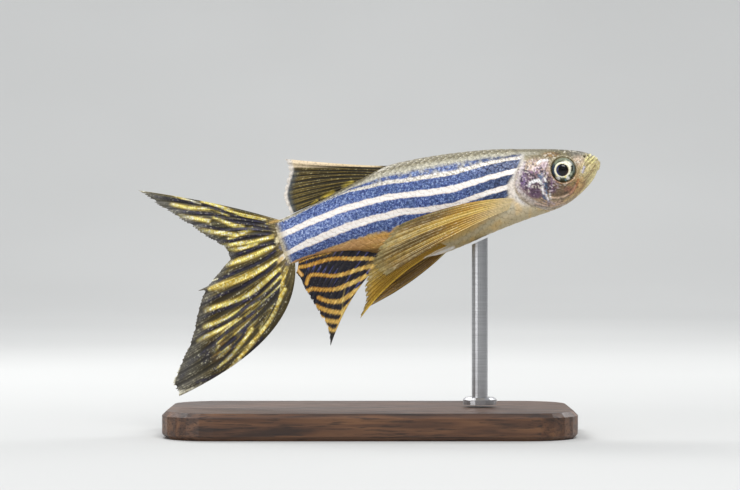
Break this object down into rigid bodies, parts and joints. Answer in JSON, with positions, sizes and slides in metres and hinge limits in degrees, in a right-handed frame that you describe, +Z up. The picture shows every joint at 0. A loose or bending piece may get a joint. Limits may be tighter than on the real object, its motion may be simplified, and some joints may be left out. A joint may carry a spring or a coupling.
{
  "type": "long-finned zebra danio model on a display stand",
  "caption": "Life-size striped aquarium fish with long veil fins, swimming nose up, held by a rod on a flat wooden base.",
  "frame": {"origin": "centre of the underside of the display base", "axes": "+X towards the fish's snout, -Y the fish's right side, +Z up"},
  "size_m": [0.0519, 0.025, 0.0321],
  "materials": {
    "skin": "wet fish skin with blue and cream stripes",
    "eye": "clear glossy eye, silver iris round a black pupil",
    "fins": "golden fin membrane with dark bands",
    "wood": "satin dark walnut",
    "steel": "brushed"
  },
  "bodies": {
    "root": {"head": "skin", "trunk": "skin", "tail_stem": "skin", "eye_right": "eye", "eye_left": "eye", "dorsal_fin": "fins", "anal_fin": "fins", "caudal_fin_upper": "fins", "caudal_fin_lower": "fins", "pectoral_fin_right": "fins", "pectoral_fin_left": "fins", "pelvic_fin_right": "fins", "pelvic_fin_left": "fins", "stand_base": "wood", "stand_rod": "steel"}
  },
  "joints": []
}
